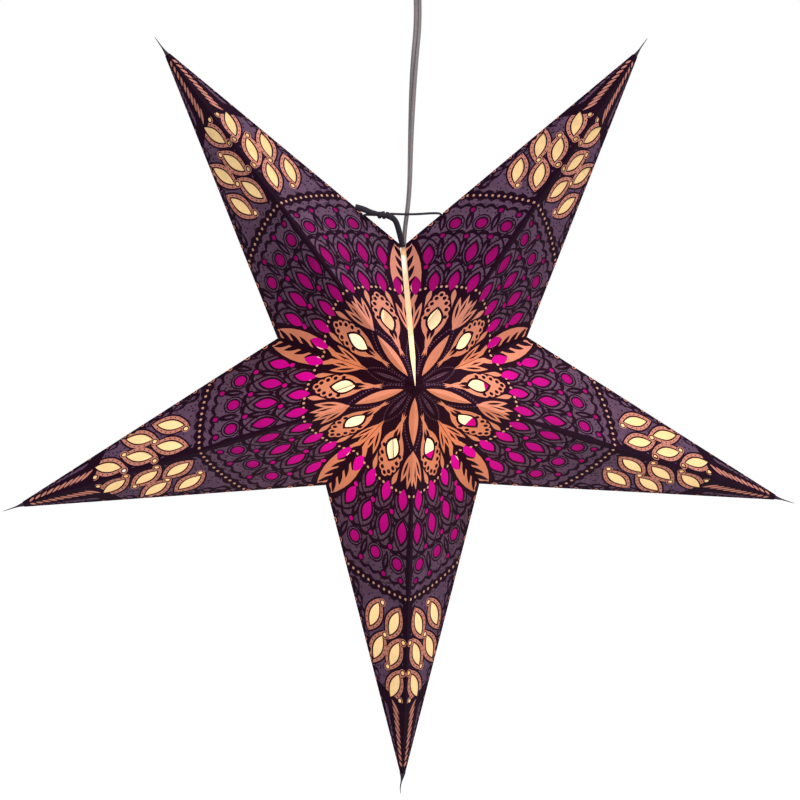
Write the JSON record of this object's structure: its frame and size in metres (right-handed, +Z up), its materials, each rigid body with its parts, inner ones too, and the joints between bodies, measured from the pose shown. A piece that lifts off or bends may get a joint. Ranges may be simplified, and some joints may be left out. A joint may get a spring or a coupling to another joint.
{
  "type": "folding paper star lantern",
  "caption": "Folding five-point paper star lantern with cut windows backed by coloured tissue, a lamp inside, a tied top seam, and a flat flex to a ceiling cup.",
  "frame": {"origin": "middle of the ceiling fitting, on the ceiling plane", "axes": "+Z up, into the ceiling; the front of the star faces -Y; +X to the right seen from the front"},
  "size_m": [0.6002, 0.18, 0.6605],
  "materials": {
    "printed_paper": "matte",
    "tissue": "matte",
    "tie_cord": "matte",
    "flex": "satin",
    "holder_plastic": "satin",
    "holder_ceramic": "matte",
    "brass": "satin",
    "nickel": "satin",
    "insulator": "gloss",
    "bulb_glass": "satin",
    "cup_plastic": "satin",
    "bracket_steel": "satin"
  },
  "bodies": {
    "ceiling": {"ceiling_bracket": "bracket_steel", "ceiling_cup": "cup_plastic", "cup_side_screws": "nickel", "cord_grip": "cup_plastic", "lock_nut": "cup_plastic", "terminal_block": "cup_plastic"},
    "flex_end": {"flex_top": "flex"},
    "lamp": {"flex": "flex", "flex_clamp": "holder_plastic", "holder_cap": "holder_plastic", "holder_sleeve": "holder_plastic", "holder_inner_body": "holder_ceramic", "centre_contact": "brass", "side_contact": "brass"},
    "bulb": {"bulb_glass": "bulb_glass", "bulb_screw_shell": "nickel", "bulb_insulator": "insulator", "bulb_base_contact": "brass"},
    "point_1_front_left_panel": {"point_1_front_left": "printed_paper", "point_1_front_left_tissue": "tissue"},
    "point_1_back_left_panel": {"point_1_back_left": "printed_paper", "point_1_back_left_tissue": "tissue"},
    "point_1_front_right_panel": {"point_1_front_right": "printed_paper", "point_1_front_right_tissue": "tissue", "tie_left": "tie_cord"},
    "point_1_back_right_panel": {"point_1_back_right": "printed_paper", "point_1_back_right_tissue": "tissue"},
    "point_2_front_left_panel": {"point_2_front_left": "printed_paper", "point_2_front_left_tissue": "tissue"},
    "point_2_back_left_panel": {"point_2_back_left": "printed_paper", "point_2_back_left_tissue": "tissue"},
    "point_2_front_right_panel": {"point_2_front_right": "printed_paper", "point_2_front_right_tissue": "tissue"},
    "point_2_back_right_panel": {"point_2_back_right": "printed_paper", "point_2_back_right_tissue": "tissue"},
    "point_3_front_left_panel": {"point_3_front_left": "printed_paper", "point_3_front_left_tissue": "tissue"},
    "point_3_back_left_panel": {"point_3_back_left": "printed_paper", "point_3_back_left_tissue": "tissue"},
    "point_3_front_right_panel": {"point_3_front_right": "printed_paper", "point_3_front_right_tissue": "tissue"},
    "point_3_back_right_panel": {"point_3_back_right": "printed_paper", "point_3_back_right_tissue": "tissue"},
    "point_4_front_left_panel": {"point_4_front_left": "printed_paper", "point_4_front_left_tissue": "tissue"},
    "point_4_back_left_panel": {"point_4_back_left": "printed_paper", "point_4_back_left_tissue": "tissue"},
    "point_4_front_right_panel": {"point_4_front_right": "printed_paper", "point_4_front_right_tissue": "tissue"},
    "point_4_back_right_panel": {"point_4_back_right": "printed_paper", "point_4_back_right_tissue": "tissue"},
    "point_5_front_left_panel": {"point_5_front_left": "printed_paper", "point_5_front_left_tissue": "tissue", "tie_right": "tie_cord"},
    "point_5_back_left_panel": {"point_5_back_left": "printed_paper", "point_5_back_left_tissue": "tissue"},
    "point_5_front_right_panel": {"point_5_front_right": "printed_paper", "point_5_front_right_tissue": "tissue"},
    "point_5_back_right_panel": {"point_5_back_right": "printed_paper", "point_5_back_right_tissue": "tissue"}
  },
  "joints": [
    {"name": "lantern_turn", "type": "hinge", "parent": "ceiling", "child": "flex_end", "pos_m": [0, 0, -0.044], "axis": [0, 0, 1], "range_deg": [-180, 180]},
    {"name": "lantern_swing", "type": "hinge", "parent": "flex_end", "child": "lamp", "pos_m": [0, 0, -0.044], "axis": [1, 0, 0], "range_deg": [-15, 15]},
    {"name": "bulb_removal", "type": "slide", "parent": "lamp", "child": "bulb", "axis": [0, 0, -1], "range_m": [0, 0.024]},
    {"name": "star_fold", "type": "hinge", "parent": "lamp", "child": "point_3_front_left_panel", "pos_m": [-0.0102, -0.09, -0.345], "axis": [0, -0.2822, 0.9594], "range_deg": [0, 17.9]},
    {"name": "point_3_half_ridge", "type": "hinge", "parent": "lamp", "child": "point_3_front_right_panel", "pos_m": [-0.0102, -0.09, -0.345], "axis": [0, 0.2822, -0.9594], "range_deg": [0, 17.95]},
    {"name": "valley_3_4", "type": "hinge", "parent": "point_3_front_left_panel", "child": "point_4_front_right_panel", "pos_m": [-0.0102, -0.09, -0.345], "axis": [0.4343, 0.6738, -0.5978], "range_deg": [0, 39.79]},
    {"name": "ridge_4", "type": "hinge", "parent": "point_4_front_right_panel", "child": "point_4_front_left_panel", "pos_m": [-0.0102, -0.09, -0.345], "axis": [-0.9124, -0.2822, 0.2965], "range_deg": [0, 35.85]},
    {"name": "valley_4_5", "type": "hinge", "parent": "point_4_front_left_panel", "child": "point_5_front_right_panel", "pos_m": [-0.0102, -0.09, -0.345], "axis": [0.7028, 0.6738, 0.2283], "range_deg": [0, 39.79]},
    {"name": "ridge_5", "type": "hinge", "parent": "point_5_front_right_panel", "child": "point_5_front_left_panel", "pos_m": [-0.0102, -0.09, -0.345], "axis": [-0.5639, -0.2822, -0.7761], "range_deg": [0, 35.85]},
    {"name": "valley_3_2", "type": "hinge", "parent": "point_3_front_right_panel", "child": "point_2_front_left_panel", "pos_m": [-0.0102, -0.09, -0.345], "axis": [0.4343, -0.6738, 0.5978], "range_deg": [0, 39.79]},
    {"name": "ridge_2", "type": "hinge", "parent": "point_2_front_left_panel", "child": "point_2_front_right_panel", "pos_m": [-0.0102, -0.09, -0.345], "axis": [-0.9124, 0.2822, -0.2965], "range_deg": [0, 35.85]},
    {"name": "valley_2_1", "type": "hinge", "parent": "point_2_front_right_panel", "child": "point_1_front_left_panel", "pos_m": [-0.0102, -0.09, -0.345], "axis": [0.7028, -0.6738, -0.2283], "range_deg": [0, 39.79]},
    {"name": "ridge_1", "type": "hinge", "parent": "point_1_front_left_panel", "child": "point_1_front_right_panel", "pos_m": [-0.0102, -0.09, -0.345], "axis": [-0.5639, 0.2822, 0.7761], "range_deg": [0, 35.85]},
    {"name": "side_1_left", "type": "hinge", "parent": "point_1_front_left_panel", "child": "point_1_back_left_panel", "pos_m": [-0.10407, 0, -0.3145], "axis": [-0.3683, 0, 0.9297], "range_deg": [0, 35.21]},
    {"name": "side_1_right", "type": "hinge", "parent": "point_1_front_right_panel", "child": "point_1_back_right_panel", "pos_m": [-0.0102, 0, -0.2463], "axis": [0.7704, 0, -0.6376], "range_deg": [0, 35.21]},
    {"name": "side_2_left", "type": "hinge", "parent": "point_2_front_left_panel", "child": "point_2_back_left_panel", "pos_m": [-0.06821, 0, -0.42485], "axis": [-0.998, 0, -0.063], "range_deg": [0, 35.21]},
    {"name": "side_2_right", "type": "hinge", "parent": "point_2_front_right_panel", "child": "point_2_back_right_panel", "pos_m": [-0.10407, 0, -0.3145], "axis": [0.8444, 0, 0.5356], "range_deg": [0, 35.21]},
    {"name": "side_3_left", "type": "hinge", "parent": "point_3_front_left_panel", "child": "point_3_back_left_panel", "pos_m": [0.04781, 0, -0.42485], "axis": [-0.2485, 0, -0.9686], "range_deg": [0, 35.21]},
    {"name": "side_3_right", "type": "hinge", "parent": "point_3_front_right_panel", "child": "point_3_back_right_panel", "pos_m": [-0.06821, 0, -0.42485], "axis": [-0.2485, 0, 0.9686], "range_deg": [0, 35.21]},
    {"name": "side_4_left", "type": "hinge", "parent": "point_4_front_left_panel", "child": "point_4_back_left_panel", "pos_m": [0.08367, 0, -0.3145], "axis": [0.8444, 0, -0.5356], "range_deg": [0, 35.21]},
    {"name": "side_4_right", "type": "hinge", "parent": "point_4_front_right_panel", "child": "point_4_back_right_panel", "pos_m": [0.04781, 0, -0.42485], "axis": [-0.998, 0, 0.063], "range_deg": [0, 35.21]},
    {"name": "side_5_left", "type": "hinge", "parent": "point_5_front_left_panel", "child": "point_5_back_left_panel", "pos_m": [-0.0102, 0, -0.2463], "axis": [0.7704, 0, 0.6376], "range_deg": [0, 35.21]},
    {"name": "side_5_right", "type": "hinge", "parent": "point_5_front_right_panel", "child": "point_5_back_right_panel", "pos_m": [0.08367, 0, -0.3145], "axis": [-0.3683, 0, -0.9297], "range_deg": [0, 35.21]}
  ],
  "couplings": [
    {"joint": "point_3_half_ridge", "follows": "star_fold", "ratio": 1},
    {"joint": "valley_3_4", "follows": "star_fold", "ratio": 2.22},
    {"joint": "ridge_4", "follows": "star_fold", "ratio": 2},
    {"joint": "valley_4_5", "follows": "star_fold", "ratio": 2.22},
    {"joint": "ridge_5", "follows": "star_fold", "ratio": 2},
    {"joint": "valley_3_2", "follows": "star_fold", "ratio": 2.22},
    {"joint": "ridge_2", "follows": "star_fold", "ratio": 2},
    {"joint": "valley_2_1", "follows": "star_fold", "ratio": 2.22},
    {"joint": "ridge_1", "follows": "star_fold", "ratio": 2},
    {"joint": "side_1_left", "follows": "star_fold", "ratio": 1.964},
    {"joint": "side_1_right", "follows": "star_fold", "ratio": 1.964},
    {"joint": "side_2_left", "follows": "star_fold", "ratio": 1.964},
    {"joint": "side_2_right", "follows": "star_fold", "ratio": 1.964},
    {"joint": "side_3_left", "follows": "star_fold", "ratio": 1.964},
    {"joint": "side_3_right", "follows": "star_fold", "ratio": 1.964},
    {"joint": "side_4_left", "follows": "star_fold", "ratio": 1.964},
    {"joint": "side_4_right", "follows": "star_fold", "ratio": 1.964},
    {"joint": "side_5_left", "follows": "star_fold", "ratio": 1.964},
    {"joint": "side_5_right", "follows": "star_fold", "ratio": 1.964}
  ]
}
